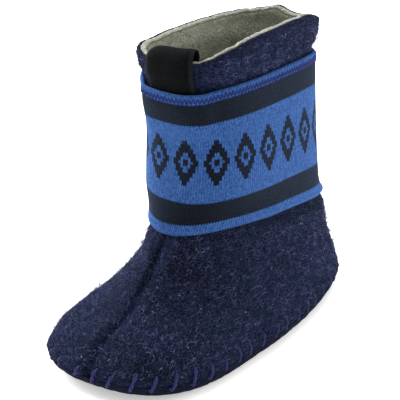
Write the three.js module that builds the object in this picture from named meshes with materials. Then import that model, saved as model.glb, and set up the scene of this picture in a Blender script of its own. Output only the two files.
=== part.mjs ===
import * as THREE from 'three';

// Felt baby bootie with a striped elastic band, in millimetres.
// The toe points to -Y, the heel to +Y and the collar up to +Z. The sole rests on z = 0.

// Sole
const soleLength = 135.0;
const ballWidth = 65.5;
const toeFullness = 1.13; // the front of the outline is drawn this much fuller, and narrows to the heel
const heelWidth = 52.4;
const soleThickness = 3.0;
const turnUp = 3.45; // the stitched ridge stands this much above the sole's inside
const toeSpring = 1.0; // how far the toe's tip lifts
const springStart = 0.55; // share of the toe's reach where the lift begins
const waistForward = 5.0; // the widest place of the sole ahead of its middle
const toeTwist = 2.4; // how far the big toe's side reaches past the small toe's side
const toeShift = 1.2; // sideways shift of the toe
const insoleThickness = 2.2;

// Upper
const wall = 3.5; // felt and lining together
const ankleHeight = 48.9;
const collarFront = 107.6;
const collarBack = 106.1;
const outerRise = 8.6; // the outer side of the collar stands this much higher
const innerRise = -0.8;
const shaftLength = 75.0;
const shaftWidth = 48.0;
const heelInset = 12.2; // the shaft's back ahead of the sole's back
const shaftLean = -1.25; // sideways lean of the collar
const leanBend = 1.3; // exponent of that lean over the height
const seamDepth = 0.8;
const seamHalfWidth = 2.4;

// Elastic band
const bandThickness = 1.3;
const bandBelowFront = 10.2; // collar to the band's upper edge
const bandBelowBack = 10.6;
const bandSideRise = 2.8; // the band stands this much higher at the sides
const bandWidthFront = 51.7;
const bandWidthBack = 55.5; // the knit is pulled wider at the heel
const bandEase = 4.5; // length over which the band settles from the pull loop on to the felt
const bandPress = 1.7; // how far the elastic draws the felt in
const pressMargin = 0.5; // the felt stays drawn in this far past the band's edges
const pressEase = 6.0; // length over which the felt comes out again

// Pull loop
const loopWidth = 19.2;
const loopThickness = 1.1;
const loopShift = 1.9; // the loop is sewn on this far beside the front seam
const loopStand = 5.2; // the loop's arch above the collar
const loopTilt = 1.2; // the arch is this much higher at its outer edge, and lower at the other
const loopSlack = 2.5; // the inner leg hangs this far off the lining at the collar
const loopTuck = 10.0; // length under the band
const loopInside = 24.0; // length of the inner leg
const loopEdgeFall = 0.15; // share by which the arch is lower at the webbing's edges

const clearance = 0.3; // between two sewn faces
const insoleClearance = 0.5; // around the edge of the insole

const toeReach = soleLength / 2;
const shaftBack = toeReach - heelInset;
const shaftFront = shaftLength - shaftBack;
const ridgeHeight = soleThickness + turnUp;

// Sections of the foot part. height: share of the way from the ridge to the ankle.
// toe and heel: shares of half the sole's length. ball and back: shares of half those widths.
// squareToe and squareHeel: exponents of the outline, 1 is an ellipse and less is squarer.
const footSections = [
  { height: 0.0, toe: 1.0, heel: 1.0, ball: 1.0, back: 1.03, squareToe: 0.75, squareHeel: 0.8 },
  { height: 0.19, toe: 0.917, heel: 0.969, ball: 0.899, back: 1.0, squareToe: 0.67, squareHeel: 0.83 },
  { height: 0.43, toe: 0.622, heel: 0.923, ball: 0.683, back: 0.947, squareToe: 0.93, squareHeel: 0.84 },
  { height: 0.715, toe: 0.423, heel: 0.864, ball: 0.554, back: 0.921, squareToe: 1.05, squareHeel: 0.83 },
];

// Sections of the shaft. height: share of the way from the ankle to the front of the collar.
// front and rear: shares of the shaft's reach. ball and back: shares of half its width.
const shaftSections = [
  { height: 0.0, front: 1.123, rear: 0.956, ball: 0.892, back: 0.945, squareToe: 0.92, squareHeel: 0.72 },
  { height: 0.17, front: 0.989, rear: 0.948, ball: 1.003, back: 0.904, squareToe: 0.81, squareHeel: 0.72 },
  { height: 0.48, front: 0.894, rear: 0.947, ball: 0.975, back: 0.876, squareToe: 0.75, squareHeel: 0.72 },
  { height: 0.76, front: 1.038, rear: 0.943, ball: 0.921, back: 0.905, squareToe: 0.75, squareHeel: 0.72 },
  { height: 1.0, front: 1.0, rear: 0.971, ball: 1.049, back: 0.945, squareToe: 0.73, squareHeel: 0.72 },
];

// Profile of the turned-up sole, from the ridge to the floor. plan: share of the outline.
// rise: share of the ridge's height. inward and up: direction of the sheet's thickness.
const soleProfile = [
  { plan: 1.0, rise: 1.0, inward: 1.0, up: 0.0 },
  { plan: 0.975, rise: 0.6, inward: 0.82, up: 0.57 },
  { plan: 0.93, rise: 0.25, inward: 0.5, up: 0.866 },
  { plan: 0.86, rise: 0.0, inward: 0.0, up: 1.0 },
  { plan: 0.5, rise: 0.0, inward: 0.0, up: 1.0 },
  { plan: 0.2, rise: 0.0, inward: 0.0, up: 1.0 },
];
const flatProfile = soleProfile.filter((row) => row.rise === 0);

const clamp01 = (value) => Math.min(1, Math.max(0, value));

const smoothStep = (value) => {
  const t = clamp01(value);
  return t * t * (3 - 2 * t);
};

const signedPower = (value, exponent) => Math.sign(value) * Math.abs(value) ** exponent;

// A curve through a table's rows that never overshoots them: cubic pieces whose slope at a row is the
// weighted harmonic mean of the slopes beside it.
function curveThrough(at, values) {
  const last = at.length - 1;
  const width = (i) => at[i + 1] - at[i];
  const rise = (i) => (values[i + 1] - values[i]) / width(i);
  const endSlope = (near, far) => {
    const slope = ((2 * width(near) + width(far)) * rise(near) - width(near) * rise(far)) / (width(near) + width(far));
    if (slope * rise(near) <= 0) return 0;
    const limit = 3 * Math.abs(rise(near));
    return rise(near) * rise(far) < 0 && Math.abs(slope) > limit ? 3 * rise(near) : slope;
  };
  const slopes = at.map((_, i) => {
    if (i === 0) return endSlope(0, 1);
    if (i === last) return endSlope(last - 1, last - 2);
    if (rise(i - 1) * rise(i) <= 0) return 0;
    const before = 2 * width(i) + width(i - 1);
    const after = width(i) + 2 * width(i - 1);
    return (before + after) / (before / rise(i - 1) + after / rise(i));
  });
  return (place) => {
    const x = Math.min(at[last], Math.max(at[0], place));
    let i = 0;
    while (i < last - 1 && x > at[i + 1]) i += 1;
    const t = (x - at[i]) / width(i);
    const t2 = t * t;
    const t3 = t2 * t;
    return (
      (2 * t3 - 3 * t2 + 1) * values[i] +
      (t3 - 2 * t2 + t) * width(i) * slopes[i] +
      (3 * t2 - 2 * t3) * values[i + 1] +
      (t3 - t2) * width(i) * slopes[i + 1]
    );
  };
}

const shareAtHeight = (height) => (height - ridgeHeight) / (collarFront - ridgeHeight);

const rows = [
  ...footSections.map((row) => ({
    at: shareAtHeight(ridgeHeight + (ankleHeight - ridgeHeight) * row.height),
    front: row.toe * toeReach,
    rear: row.heel * toeReach,
    ball: (row.ball * ballWidth * toeFullness) / 2,
    back: (row.back * heelWidth) / 2,
    squareToe: row.squareToe,
    squareHeel: row.squareHeel,
  })),
  ...shaftSections.map((row) => ({
    at: shareAtHeight(ankleHeight + (collarFront - ankleHeight) * row.height),
    front: row.front * shaftFront,
    rear: row.rear * shaftBack,
    ball: (row.ball * shaftWidth) / 2,
    back: (row.back * shaftWidth) / 2,
    squareToe: row.squareToe,
    squareHeel: row.squareHeel,
  })),
];

const rowCurve = (column) => curveThrough(rows.map((row) => row.at), rows.map((row) => row[column]));
const frontReach = rowCurve('front');
const rearReach = rowCurve('rear');
const ballHalf = rowCurve('ball');
const backHalf = rowCurve('back');
const squareToe = rowCurve('squareToe');
const squareHeel = rowCurve('squareHeel');

// Lift of the sole and of all that stands on it, towards the toe's tip.
function toeLift(y) {
  const start = springStart * toeReach;
  const t = clamp01((-y - start) / (toeReach - start));
  return toeSpring * t * t;
}

// Half width of the outline at an angle, signed, before it leans: the distance from the seams.
function across(share, angle) {
  const c = Math.cos(angle);
  const frontPart = smoothStep((1 + c) / 2);
  const half = ballHalf(share) * frontPart + backHalf(share) * (1 - frontPart);
  return half * signedPower(Math.sin(angle), c > 0 ? squareToe(share) : squareHeel(share));
}

// Height of the collar's edge at an angle.
function collarHeight(angle) {
  const c = Math.cos(angle);
  const s = Math.sin(angle);
  const rise = s > 0 ? outerRise : innerRise;
  return (collarFront * (1 + c)) / 2 + (collarBack * (1 - c)) / 2 + rise * s * s;
}

// Outer surface of the upper. share runs from 0 at the ridge to 1 at the collar. angle is 0 at the toe,
// a quarter turn on the +X side and half a turn at the heel.
function skin(share, angle) {
  const c = Math.cos(angle);
  const footPart = smoothStep(1 - 2 * share);
  const front = frontReach(share);
  const rear = rearReach(share);
  const square = c > 0 ? squareToe(share) : squareHeel(share);
  const middle = waistForward * footPart + ((front - rear) / 2) * (1 - footPart);
  const reach = c > 0 ? front - middle : rear + middle;
  const twist = toeTwist * footPart * Math.max(0, c) * signedPower(Math.sin(angle), square);
  const ahead = middle + reach * signedPower(c, square) - twist;
  const shift = toeShift * footPart * ((1 + c) / 2) ** 2 + shaftLean * share ** leanBend;
  const ridge = ridgeHeight + toeLift(-ahead) * footPart;
  return new THREE.Vector3(across(share, angle) + shift, -ahead, ridge + (collarHeight(angle) - ridge) * share);
}

// Height of the band's upper edge at an angle.
function bandHigh(angle) {
  const c = Math.cos(angle);
  const ends = ((collarFront - bandBelowFront) * (1 + c)) / 2 + ((collarBack - bandBelowBack) * (1 - c)) / 2;
  return ends + bandSideRise * Math.sin(angle) ** 2;
}

function bandLow(angle) {
  const c = Math.cos(angle);
  return bandHigh(angle) - (bandWidthFront * (1 + c)) / 2 - (bandWidthBack * (1 - c)) / 2;
}

// Share of the elastic's pull that the felt follows at a level: 1 under the band, 0 away from it.
function pullAtLevel(level, angle) {
  const above = level - bandHigh(angle) - pressMargin;
  const below = bandLow(angle) - pressMargin - level;
  return 1 - smoothStep(Math.max(above, below) / pressEase);
}

// A point at a distance from the outer surface as the elastic leaves it, level with it: outwards if the
// distance is positive.
function offsetSkin(share, angle, distance) {
  const angleStep = 0.01;
  const shareStep = 0.004;
  const around = skin(share, angle + angleStep).sub(skin(share, angle - angleStep));
  const up = skin(Math.min(1, share + shareStep), angle).sub(skin(Math.max(0, share - shareStep), angle));
  const normal = around.cross(up).normalize();
  const level = Math.hypot(normal.x, normal.y);
  const flattest = 0.35; // keeps the step short where the instep lies almost flat
  const point = skin(share, angle);
  const push = distance - bandPress * pullAtLevel(point.z, angle);
  const stretch = push / Math.max(level, flattest) / level;
  point.x += normal.x * stretch;
  point.y += normal.y * stretch;
  return point;
}

// Depth of the soft valley along the front and back seams, for a point of the surface.
function seamValley(share, angle) {
  return seamDepth * (1 - smoothStep(Math.abs(across(share, angle)) / seamHalfWidth));
}

// Share of the height where the surface at this angle reaches a level.
function shareAtLevel(level, angle) {
  const low = skin(0, angle).z;
  const high = skin(1, angle).z;
  return clamp01((level - low) / (high - low));
}

// Angles around the boot: close together beside the seams, where the valleys are, and even between them.
function anglesAround() {
  const besideSeam = [0, 0.018, 0.05, 0.1, 0.16, 0.24, 0.33, 0.43];
  const evenSteps = 16;
  const evenStart = 0.54;
  const evenEnd = Math.PI - 0.1;
  const half = [...besideSeam];
  for (let i = 0; i <= evenSteps; i += 1) {
    half.push(evenStart + ((evenEnd - evenStart) * i) / evenSteps);
  }
  half.push(Math.PI - 0.05, Math.PI - 0.018);
  const otherHalf = half.slice(1).map((angle) => 2 * Math.PI - angle);
  return [...half, Math.PI, ...otherHalf.reverse()];
}

const angles = anglesAround();

// Closed body from loops of points. Each loop is joined to the next one, and the last to the first.
function ringBody(loops) {
  const count = loops[0].length;
  const corners = loops.flat().flatMap((p) => [p.x, p.y, p.z]);
  const faces = [];
  loops.forEach((_, i) => {
    const next = (i + 1) % loops.length;
    for (let j = 0; j < count; j += 1) {
      const k = (j + 1) % count;
      const [a, b, c, d] = [i * count + j, i * count + k, next * count + k, next * count + j];
      faces.push(a, b, c, a, c, d);
    }
  });
  return bodyFrom(corners, faces);
}

// Closed body from loops of points, with a single point before the first loop and one after the last.
function cappedBody(firstPoint, loops, lastPoint) {
  const count = loops[0].length;
  const points = [...loops.flat(), firstPoint, lastPoint];
  const corners = points.flatMap((p) => [p.x, p.y, p.z]);
  const first = points.length - 2;
  const last = points.length - 1;
  const lastLoop = (loops.length - 1) * count;
  const faces = [];
  for (let j = 0; j < count; j += 1) {
    const k = (j + 1) % count;
    faces.push(first, k, j);
    for (let i = 0; i < loops.length - 1; i += 1) {
      const [a, b, c, d] = [i * count + j, i * count + k, (i + 1) * count + k, (i + 1) * count + j];
      faces.push(a, b, c, a, c, d);
    }
    faces.push(last, lastLoop + j, lastLoop + k);
  }
  return bodyFrom(corners, faces);
}

function bodyFrom(corners, faces) {
  const geometry = new THREE.BufferGeometry();
  geometry.setAttribute('position', new THREE.Float32BufferAttribute(corners, 3));
  geometry.setIndex(faces);
  geometry.computeVertexNormals();
  return geometry;
}

// Hollow wall of the upper: up the outside from the ridge to the collar, and down the inside.
function upperBody() {
  const foot = [0, 0.02, 0.05, 0.08, 0.115, 0.15, 0.19, 0.23, 0.26, 0.28, 0.3, 0.32, 0.34, 0.36, 0.38, 0.4];
  const shaft = [0.43, 0.48, 0.54, 0.6, 0.67, 0.74, 0.8, 0.84, 0.86, 0.88, 0.9, 0.92, 0.94, 0.96, 0.98, 1];
  const shares = [...foot, ...shaft];
  const seat = clearance / 2;
  const raise = (point, share) => {
    point.z += seat * (1 - share);
    return point;
  };
  const outside = shares.map((share) =>
    angles.map((angle) => raise(offsetSkin(share, angle, -seamValley(share, angle)), share)),
  );
  const inside = shares.map((share) => angles.map((angle) => raise(offsetSkin(share, angle, -wall), share)));
  return ringBody([...outside, ...inside.reverse()]);
}

// A point of the sole's outline, drawn in towards its middle line.
function outlinePoint(plan, angle) {
  const rim = skin(0, angle);
  return new THREE.Vector3(rim.x * plan, -waistForward + (rim.y + waistForward) * plan, 0);
}

// Unit direction from the outline towards the inside of the sole.
function inwardAt(angle) {
  const step = 0.01;
  const along = skin(0, angle + step).sub(skin(0, angle - step));
  return new THREE.Vector3(-along.y, along.x, 0).normalize();
}

// Dished felt sole: the underside from its middle to the ridge, then the inside back to the middle.
function soleBody() {
  const underside = soleProfile.map((row) =>
    angles.map((angle) => {
      const point = outlinePoint(row.plan, angle);
      point.z = (ridgeHeight - clearance / 2) * row.rise + toeLift(point.y);
      return point;
    }),
  );
  const inside = soleProfile.map((row, i) =>
    angles.map((angle, j) => {
      const point = underside[i][j].clone().addScaledVector(inwardAt(angle), soleThickness * row.inward);
      point.z += soleThickness * row.up;
      return point;
    }),
  );
  const middle = new THREE.Vector3(0, -waistForward, 0);
  const loops = [...underside.reverse(), ...inside];
  return cappedBody(middle, loops, middle.clone().setZ(soleThickness));
}

// Flat felt insole inside the turned-up edge of the sole.
function insoleBody() {
  const layer = (level) =>
    flatProfile.map((row) =>
      angles.map((angle) => {
        const point = outlinePoint(row.plan, angle).addScaledVector(inwardAt(angle), insoleClearance * row.plan);
        point.z = level + toeLift(point.y);
        return point;
      }),
    );
  const bottom = soleThickness + clearance;
  const top = bottom + insoleThickness;
  const middle = (level) => new THREE.Vector3(0, -waistForward, level);
  return cappedBody(middle(bottom), [...layer(bottom).reverse(), ...layer(top)], middle(top));
}

// How far the band stands off the felt: its clearance, and over the pull loop's end the loop as well.
function bandSeat(share, angle, belowTop) {
  const past = (Math.abs(across(share, angle) - loopShift) - loopWidth / 2 - bandEase / 3) / bandEase;
  const lower = (belowTop - loopTuck - bandEase / 3) / (2 * bandEase);
  const overLoop = Math.cos(angle) > 0 ? (1 - smoothStep(past)) * (1 - smoothStep(lower)) : 0;
  return clearance + (loopThickness + clearance) * overLoop;
}

// Elastic ring around the shaft, stretched over the pull loop's lower end.
function bandBody() {
  const heights = [0, 0.12, 0.28, 0.46, 0.62, 0.72, 0.8, 0.9, 1];
  const layer = (outward) =>
    heights.map((height) =>
      angles.map((angle) => {
        const level = bandLow(angle) + (bandHigh(angle) - bandLow(angle)) * height;
        const share = shareAtLevel(level, angle);
        return offsetSkin(share, angle, bandSeat(share, angle, bandHigh(angle) - level) + outward);
      }),
    );
  return ringBody([...layer(bandThickness), ...layer(0).reverse()]);
}

// Angle at which the front of the surface is this far across.
function frontAngle(share, distance) {
  const sine = (Math.abs(distance) / ballHalf(share)) ** (1 / squareToe(share));
  return Math.sign(distance) * Math.asin(sine);
}

// Webbing folded over the collar: up the outside, in an arch over the edge, and down the lining.
function loopBody() {
  const threads = [-1, -0.72, -0.36, 0, 0.36, 0.72, 1];
  const outerMiddle = clearance + loopThickness / 2;
  const innerMiddle = -wall - outerMiddle;
  const archMiddle = (outerMiddle + innerMiddle - loopSlack) / 2;
  const archHalf = (outerMiddle - innerMiddle + loopSlack) / 2;
  const legSteps = 14;
  const archSteps = 10;
  const stations = [];
  for (let i = 0; i < legSteps; i += 1) {
    stations.push({ leg: 'outer', t: i / legSteps });
  }
  for (let i = 0; i <= archSteps; i += 1) {
    stations.push({ leg: 'arch', t: i / archSteps });
  }
  for (let i = 1; i <= legSteps; i += 1) {
    stations.push({ leg: 'inner', t: i / legSteps });
  }
  const place = (station, thread, side) => {
    const half = (loopThickness / 2) * side;
    const x = loopShift + (thread * loopWidth) / 2;
    const collarAngle = frontAngle(1, x);
    const rim = skin(1, collarAngle).z;
    const start = bandHigh(collarAngle) - loopTuck;
    const level = {
      outer: start + (rim - start) * station.t,
      arch: rim,
      inner: rim - loopInside * station.t,
    }[station.leg];
    const share = shareAtLevel(level, collarAngle);
    const angle = frontAngle(share, x);
    if (station.leg === 'outer') return offsetSkin(share, angle, outerMiddle + half);
    const slack = loopSlack * (1 - station.t) ** 2;
    if (station.leg === 'inner') return offsetSkin(share, angle, innerMiddle - slack - half);
    const turn = Math.PI * station.t;
    const crown = loopStand + loopTilt * thread - loopThickness / 2;
    const stand = crown * (1 - loopEdgeFall * thread ** 4) + half;
    const point = offsetSkin(1, angle, archMiddle + (archHalf + half) * Math.cos(turn));
    point.z += stand * Math.sin(turn);
    return point;
  };
  const sections = stations.map((station) => [
    ...threads.map((thread) => place(station, thread, 1)),
    ...[...threads].reverse().map((thread) => place(station, thread, -1)),
  ]);
  return endedStrip(sections);
}

// Closed body from cross sections of a flat strip, with its two ends closed across the strip.
function endedStrip(sections) {
  const count = sections[0].length;
  const corners = sections.flat().flatMap((p) => [p.x, p.y, p.z]);
  const faces = [];
  for (let i = 0; i < sections.length - 1; i += 1) {
    for (let j = 0; j < count; j += 1) {
      const k = (j + 1) % count;
      const [a, b, c, d] = [i * count + j, i * count + k, (i + 1) * count + k, (i + 1) * count + j];
      faces.push(a, b, c, a, c, d);
    }
  }
  const end = (sections.length - 1) * count;
  for (let j = 0; j < count / 2 - 1; j += 1) {
    const opposite = count - 1 - j;
    faces.push(j, opposite, j + 1, j + 1, opposite, opposite - 1);
    faces.push(end + j, end + j + 1, end + opposite, end + j + 1, end + opposite - 1, end + opposite);
  }
  return bodyFrom(corners, faces);
}

function piece(name, geometry, colour, roughness) {
  const material = new THREE.MeshStandardMaterial({ color: colour, roughness, metalness: 0 });
  const mesh = new THREE.Mesh(geometry, material);
  mesh.name = name;
  return mesh;
}

const bootie = new THREE.Group();
bootie.add(piece('sole', soleBody(), 0x16181d, 0.95));
bootie.add(piece('insole', insoleBody(), 0x9c9684, 0.95));
bootie.add(piece('upper', upperBody(), 0x232844, 0.95));
bootie.add(piece('elastic_band', bandBody(), 0x2f62b5, 0.8));
bootie.add(piece('pull_loop', loopBody(), 0x15171a, 0.8));

// The origin is under the middle of the boot's outline.
const outline = new THREE.Box3().setFromObject(bootie);
const centre = outline.getCenter(new THREE.Vector3());
bootie.position.set(-centre.x, -centre.y, -outline.min.z);

export default bootie;
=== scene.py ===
import math

import bpy
import numpy as np
from mathutils import Matrix, Vector


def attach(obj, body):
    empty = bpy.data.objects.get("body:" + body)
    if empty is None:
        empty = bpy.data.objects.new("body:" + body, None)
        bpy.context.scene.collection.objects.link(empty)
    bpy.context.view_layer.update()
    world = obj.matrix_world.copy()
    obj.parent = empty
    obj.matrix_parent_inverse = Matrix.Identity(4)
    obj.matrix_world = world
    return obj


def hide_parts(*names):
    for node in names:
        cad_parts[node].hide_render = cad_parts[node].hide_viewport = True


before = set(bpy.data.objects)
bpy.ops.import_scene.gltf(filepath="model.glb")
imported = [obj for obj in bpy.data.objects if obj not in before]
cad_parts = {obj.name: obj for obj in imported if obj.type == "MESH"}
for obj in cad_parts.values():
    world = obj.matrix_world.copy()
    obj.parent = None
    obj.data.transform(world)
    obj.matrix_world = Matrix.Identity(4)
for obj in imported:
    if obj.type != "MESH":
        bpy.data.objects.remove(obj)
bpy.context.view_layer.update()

# Felt baby bootie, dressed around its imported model.
# Shapes are worked out in millimetres and written in metres.
# The toe points to -Y, the heel to +Y. An angle runs from 0 at the toe over +X to half a turn at the heel.
# A share runs from 0 at the stitched ridge of the sole to 1 at the collar.

mm = 0.001
turn = 2 * math.pi

boot = {
    "soleLength": 135.0,
    "ballWidth": 65.5,
    "toeFullness": 1.13,
    "heelWidth": 52.4,
    "soleThickness": 3.0,
    "turnUp": 3.45,
    "toeSpring": 1.0,
    "springStart": 0.55,
    "waistForward": 5.0,
    "toeTwist": 2.4,
    "toeShift": 1.2,
    "insoleThickness": 2.2,
    "wall": 3.5,
    "ankleHeight": 48.9,
    "collarFront": 107.6,
    "collarBack": 106.1,
    "outerRise": 8.6,
    "innerRise": -0.8,
    "shaftLength": 75.0,
    "shaftWidth": 48.0,
    "heelInset": 12.2,
    "shaftLean": -1.25,
    "leanBend": 1.3,
}
band = {
    "thickness": 1.3, "belowFront": 10.2, "belowBack": 10.6, "sideRise": 2.8,
    "widthFront": 51.7, "widthBack": 55.5, "ease": 4.5,
    "press": 1.7, "pressMargin": 0.5, "pressEase": 6.0, "clearance": 0.3,
    "wales": 204, "pointsPerWale": 5, "rows": 78, "rib": 0.13, "edgeBead": 0.25,
}
pull = {
    "width": 19.2, "thickness": 1.1, "shift": 1.9, "stand": 4.6, "tilt": 0.6, "slack": 2.5, "tuck": 10.0,
    "inside": 24.0, "edgeFall": 0.15,
}
toeReach = boot["soleLength"] / 2
shaftBack = toeReach - boot["heelInset"]
shaftFront = boot["shaftLength"] - shaftBack
ridgeHeight = boot["soleThickness"] + boot["turnUp"]

# columns: height, front, rear, ball, back, squareness at the toe, squareness at the heel
footSections = np.array([
    (0.0, 1.0, 1.0, 1.0, 1.03, 0.75, 0.80),
    (0.19, 0.917, 0.969, 0.899, 1.0, 0.67, 0.83),
    (0.43, 0.622, 0.923, 0.683, 0.947, 0.93, 0.84),
    (0.715, 0.423, 0.864, 0.554, 0.921, 1.05, 0.83),
])
shaftSections = np.array([
    (0.0, 1.123, 0.956, 0.892, 0.945, 0.92, 0.72),
    (0.17, 0.989, 0.948, 1.003, 0.904, 0.81, 0.72),
    (0.48, 0.894, 0.947, 0.975, 0.876, 0.75, 0.72),
    (0.76, 1.038, 0.943, 0.921, 0.905, 0.75, 0.72),
    (1.0, 1.0, 0.971, 1.049, 0.945, 0.73, 0.72),
])
# columns: share of the outline, share of the ridge's height,
# inward part and upward part of the sheet's thickness
soleProfile = np.array([
    (1.0, 1.0, 1.0, 0.0),
    (0.975, 0.6, 0.82, 0.57),
    (0.93, 0.25, 0.5, 0.866),
    (0.86, 0.0, 0.0, 1.0),
])


# Number tools

def smoothStep(value):
    # t * t * (3 - 2t) with t held between 0 and 1
    t = np.clip(value, 0.0, 1.0)
    return t * t * (3 - 2 * t)


def bell(value, width):
    return np.exp(-(value / width) ** 2)


def signedPower(value, exponent):
    # the value's size to this power, with its sign kept
    return np.sign(value) * np.abs(value) ** exponent


def unit(vectors):
    # each vector over its own length
    return vectors / np.maximum(np.linalg.norm(vectors, axis=-1, keepdims=True), 1e-9)


def stepLengths(points):
    # the length from each point to the next
    return np.linalg.norm(np.diff(points, axis=0), axis=1)


def runningTotal(steps):
    # 0, then the sum after each step
    return np.concatenate([[0.0], np.cumsum(steps)])


def curveThrough(at, values):
    # cubic pieces through the rows
    # the slope at a row is the weighted harmonic mean of the slopes beside it
    width = np.diff(at)
    rise = np.diff(values) / width
    slopes = np.zeros(len(at))
    along = rise[:-1] * rise[1:] > 0
    before = 2 * width[1:] + width[:-1]
    after = width[1:] + 2 * width[:-1]
    left = np.where(along, rise[:-1], 1.0)
    right = np.where(along, rise[1:], 1.0)
    slopes[1:-1] = np.where(along, (before + after) / (before / left + after / right), 0.0)
    for end, near, far in ((0, 0, 1), (-1, -1, -2)):
        nearWidth, farWidth = width[near], width[far]
        slope = (2 * nearWidth + farWidth) * rise[near] - nearWidth * rise[far]
        slope /= nearWidth + farWidth
        if slope * rise[near] <= 0:
            slope = 0.0
        elif rise[near] * rise[far] < 0 and abs(slope) > 3 * abs(rise[near]):
            slope = 3 * rise[near]
        slopes[end] = slope

    def curve(place):
        x = np.clip(place, at[0], at[-1])
        i = np.clip(np.searchsorted(at, x, side="right") - 1, 0, len(width) - 1)
        t = (x - at[i]) / width[i]
        return ((2 * t**3 - 3 * t**2 + 1) * values[i] + (t**3 - 2 * t**2 + t) * width[i] * slopes[i]
                + (3 * t**2 - 2 * t**3) * values[i + 1] + (t**3 - t**2) * width[i] * slopes[i + 1])

    return curve


def woolNoise(points, size, seed):
    # random numbers on a lattice of cells of this size, blended smoothly between each cell's eight corners
    cells = 48
    lattice = np.random.default_rng(seed).uniform(-1.0, 1.0, (cells, cells, cells))
    place = points / size
    base = np.floor(place).astype(int)
    part = place - base
    part = part * part * (3 - 2 * part)
    total = np.zeros(points.shape[:-1])
    for corner in np.ndindex(2, 2, 2):
        weight = np.prod(np.where(np.array(corner) == 1, part, 1 - part), axis=-1)
        at = (base + corner) % cells
        total += weight * lattice[at[..., 0], at[..., 1], at[..., 2]]
    return total


# The boot's shape

def heightShare(height):
    # 0 at the ridge and 1 at the front of the collar
    return (height - ridgeHeight) / (boot["collarFront"] - ridgeHeight)


ankle = boot["ankleHeight"]
sectionShares = np.concatenate([
    heightShare(ridgeHeight + (ankle - ridgeHeight) * footSections[:, 0]),
    heightShare(ankle + (boot["collarFront"] - ankle) * shaftSections[:, 0]),
])


def sectionCurve(column, footSize, shaftSize):
    # one column of both tables times its sizes, as a smooth curve over the height
    values = np.concatenate([footSections[:, column] * footSize, shaftSections[:, column] * shaftSize])
    return curveThrough(sectionShares, values)


frontReach = sectionCurve(1, toeReach, shaftFront)
rearReach = sectionCurve(2, toeReach, shaftBack)
ballHalf = sectionCurve(3, boot["ballWidth"] * boot["toeFullness"] / 2, boot["shaftWidth"] / 2)
backHalf = sectionCurve(4, boot["heelWidth"] / 2, boot["shaftWidth"] / 2)
squareToe = sectionCurve(5, 1.0, 1.0)
squareHeel = sectionCurve(6, 1.0, 1.0)


def toeLift(y):
    # toe spring: grows with the square of the way from its start to the tip
    start = boot["springStart"] * toeReach
    t = np.clip((-y - start) / (toeReach - start), 0.0, 1.0)
    return boot["toeSpring"] * t * t


def across(share, angle):
    # signed distance from the seams: half width, blended from ball to back, times sine to the squareness
    c = np.cos(angle)
    front = smoothStep((1 + c) / 2)
    half = ballHalf(share) * front + backHalf(share) * (1 - front)
    return half * signedPower(np.sin(angle), np.where(c > 0, squareToe(share), squareHeel(share)))


def frontToBack(front, back, angle):
    # one value in front and one behind, blended with the cosine
    c = np.cos(angle)
    return front * (1 + c) / 2 + back * (1 - c) / 2


def collarHeight(angle):
    # from front to back, plus each side's rise times the sine squared
    s = np.sin(angle)
    rise = np.where(s > 0, boot["outerRise"], boot["innerRise"])
    return frontToBack(boot["collarFront"], boot["collarBack"], angle) + rise * s * s


def rawSkin(share, angle):
    # outer surface: a squared ellipse at each level, from the sole's outline to the shaft's
    share, angle = np.broadcast_arrays(np.asarray(share, float), np.asarray(angle, float))
    c = np.cos(angle)
    foot = smoothStep(1 - 2 * share)
    front = frontReach(share)
    rear = rearReach(share)
    square = np.where(c > 0, squareToe(share), squareHeel(share))
    middle = boot["waistForward"] * foot + (front - rear) / 2 * (1 - foot)
    reach = np.where(c > 0, front - middle, rear + middle)
    twist = boot["toeTwist"] * foot * np.maximum(0, c) * signedPower(np.sin(angle), square)
    ahead = middle + reach * signedPower(c, square) - twist
    shift = boot["toeShift"] * foot * ((1 + c) / 2) ** 2
    x = across(share, angle) + shift + boot["shaftLean"] * share ** boot["leanBend"]
    ridge = ridgeHeight + toeLift(-ahead) * foot
    return np.stack([x, -ahead, ridge + (collarHeight(angle) - ridge) * share], axis=-1)


rimAngles = np.linspace(0, turn, 2881)
rimSample = rawSkin(0.0, rimAngles)
placeShift = np.array([
    (rimSample[:, 0].min() + rimSample[:, 0].max()) / 2,
    (rimSample[:, 1].min() + rimSample[:, 1].max()) / 2,
    0.0,
])
rimLengths = runningTotal(stepLengths(rimSample))


def skin(share, angle):
    # the same surface with the middle of its outline over the origin
    return rawSkin(share, angle) - placeShift


def skinNormal(share, angle):
    # across the surface: the cross product of small steps around it and up it
    aroundStep = skin(share, angle + 0.01) - skin(share, angle - 0.01)
    upStep = skin(np.minimum(1, share + 0.004), angle) - skin(np.maximum(0, share - 0.004), angle)
    return unit(np.cross(aroundStep, upStep))


def bandHigh(angle):
    # upper edge: below the collar from front to back, plus the sides' rise times the sine squared
    front = boot["collarFront"] - band["belowFront"]
    back = boot["collarBack"] - band["belowBack"]
    return frontToBack(front, back, angle) + band["sideRise"] * np.sin(angle) ** 2


def bandLow(angle):
    # lower edge: the band's width below the upper one
    return bandHigh(angle) - frontToBack(band["widthFront"], band["widthBack"], angle)


def pullAtLevel(level, angle):
    # how much of the elastic's pull the felt follows: 1 under the band, easing to 0 beyond its edges
    past = np.maximum(level - bandHigh(angle), bandLow(angle) - level) - band["pressMargin"]
    return 1 - smoothStep(past / band["pressEase"])


def levelOffset(share, angle, distance):
    # a point this far out of the surface that the elastic draws in, at the same height
    normal = skinNormal(share, angle)
    level = np.hypot(normal[..., 0], normal[..., 1])
    point = skin(share, angle)
    push = distance - band["press"] * pullAtLevel(point[..., 2], angle)
    stretch = push / np.maximum(level, 0.35) / level
    point[..., 0] += normal[..., 0] * stretch
    point[..., 1] += normal[..., 1] * stretch
    return point


def rimArc(angle):
    # length along the rim up to this angle
    return np.interp(np.mod(angle, turn), rimAngles, rimLengths)


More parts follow.
